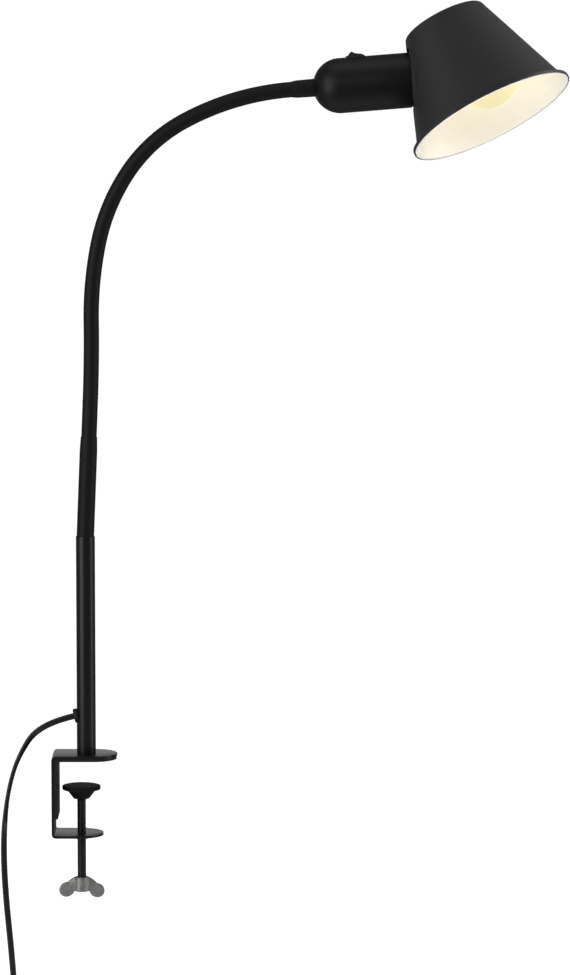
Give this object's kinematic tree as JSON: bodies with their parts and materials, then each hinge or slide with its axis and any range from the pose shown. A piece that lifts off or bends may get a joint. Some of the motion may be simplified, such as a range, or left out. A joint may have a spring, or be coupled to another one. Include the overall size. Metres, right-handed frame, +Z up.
{
  "type": "clamp lamp",
  "caption": "Clamp lamp: table clamp with wing screw, short pole, sheathed gooseneck, tubular lampholder housing with rocker switch, conical shade, bulb, and mains cord with plug.",
  "frame": {"origin": "the liner's flat face that lies on the table's edge, on the axis of the pole", "axes": "+Z up along the pole; +X along the jaws from the strap to their tips, and to the shade; -Y towards the picture's viewer"},
  "size_m": [0.4338, 0.1227, 0.8825],
  "materials": {
    "black_steel": "satin",
    "shade_paint": "matte",
    "housing_paint": "satin",
    "black_plastic": "matte",
    "sheath_plastic": "matte",
    "cord_plastic": "satin",
    "plated_steel": "satin",
    "grey_cast_metal": "rough",
    "brass": "satin",
    "cap_metal": "satin",
    "white_plastic": "gloss",
    "warm_glass": "satin"
  },
  "bodies": {
    "stand": {"clamp_bracket": "black_steel", "clamp_liner": "black_plastic", "pole_screw": "plated_steel", "pole_insert": "plated_steel", "pole": "black_steel", "cord_gland": "black_plastic", "lead_0": "cord_plastic", "hose_ferrule": "plated_steel", "lower_sleeve": "black_plastic", "neck_hose_0": "plated_steel", "neck_sheath_0": "sheath_plastic", "cord": "cord_plastic", "cord_coil": "cord_plastic", "coil_tie": "black_plastic", "plug_boot": "cord_plastic", "plug_body": "black_plastic", "plug_pin_1": "brass", "plug_pin_2": "brass"},
    "link_1": {"neck_hose_1": "plated_steel", "neck_sheath_1": "sheath_plastic", "lead_1": "cord_plastic"},
    "link_2": {"neck_hose_2": "plated_steel", "neck_sheath_2": "sheath_plastic", "lead_2": "cord_plastic"},
    "link_3": {"neck_hose_3": "plated_steel", "neck_sheath_3": "sheath_plastic", "lead_3": "cord_plastic"},
    "link_4": {"neck_hose_4": "plated_steel", "neck_sheath_4": "sheath_plastic", "lead_4": "cord_plastic"},
    "link_5": {"neck_hose_5": "plated_steel", "neck_sheath_5": "sheath_plastic", "lead_5": "cord_plastic"},
    "head": {"neck_hose_6": "plated_steel", "neck_sheath_6": "sheath_plastic", "lead_6": "cord_plastic", "upper_sleeve": "black_plastic", "holder_shell": "housing_paint", "hose_nipple": "brass", "nipple_nut": "brass", "socket_body": "white_plastic", "socket_thread": "cap_metal", "terminal_screw_1": "brass", "terminal_screw_2": "brass", "centre_contact": "brass", "bulb_contact": "cap_metal", "bulb_cap": "cap_metal", "bulb_globe": "warm_glass", "switch_housing": "black_plastic", "rocker_pin": "plated_steel", "switch_terminal_1": "brass", "switch_terminal_2": "brass", "shade_washer": "black_plastic", "shade_ring": "white_plastic"},
    "shade": {"shade": "shade_paint"},
    "rocker": {"rocker": "black_plastic"},
    "foot": {"pressure_foot": "black_plastic"},
    "screw": {"clamp_screw": "black_steel", "wing_nut": "grey_cast_metal"}
  },
  "joints": [
    {"name": "neck_bend_1", "type": "hinge", "parent": "stand", "child": "link_1", "pos_m": [0.00427, 0, 0.27331], "axis": [0, 1, 0], "range_deg": [-30, 30]},
    {"name": "neck_bend_2", "type": "hinge", "parent": "link_1", "child": "link_2", "pos_m": [0.00517, 0, 0.331], "axis": [1, 0, 0.0096], "range_deg": [-30, 30]},
    {"name": "neck_bend_3", "type": "hinge", "parent": "link_2", "child": "link_3", "pos_m": [0.0106, 0, 0.38834], "axis": [0, 1, 0], "range_deg": [-30, 30]},
    {"name": "neck_bend_4", "type": "hinge", "parent": "link_3", "child": "link_4", "pos_m": [0.03245, 0, 0.44136], "axis": [0.8344, 0, -0.5512], "range_deg": [-30, 30]},
    {"name": "neck_bend_5", "type": "hinge", "parent": "link_4", "child": "link_5", "pos_m": [0.07453, 0, 0.47999], "axis": [0, 1, 0], "range_deg": [-30, 30]},
    {"name": "neck_bend_6", "type": "hinge", "parent": "link_5", "child": "head", "pos_m": [0.12849, 0, 0.49984], "axis": [0.2053, 0, -0.9787], "range_deg": [-30, 30]},
    {"name": "shade_turn", "type": "hinge", "parent": "head", "child": "shade", "pos_m": [0.24283, 0, 0.51062], "axis": [0.9968, 0, 0.0793], "range_deg": [-90, 90]},
    {"name": "switch_rocker", "type": "hinge", "parent": "head", "child": "rocker", "pos_m": [0.2022, 0, 0.52694], "axis": [0, -1, 0], "range_deg": [0, 28]},
    {"name": "foot_travel", "type": "slide", "parent": "stand", "child": "foot", "axis": [0, 0, 1], "range_m": [-0.025, 0.02]},
    {"name": "screw_turn", "type": "hinge", "parent": "foot", "child": "screw", "pos_m": [-0.0039, 0, -0.0266], "axis": [0, 0, 1], "range_deg": [-9000, 7200]}
  ],
  "couplings": [
    {"joint": "screw_turn", "follows": "foot_travel", "rad_per_m": 6283.2}
  ]
}
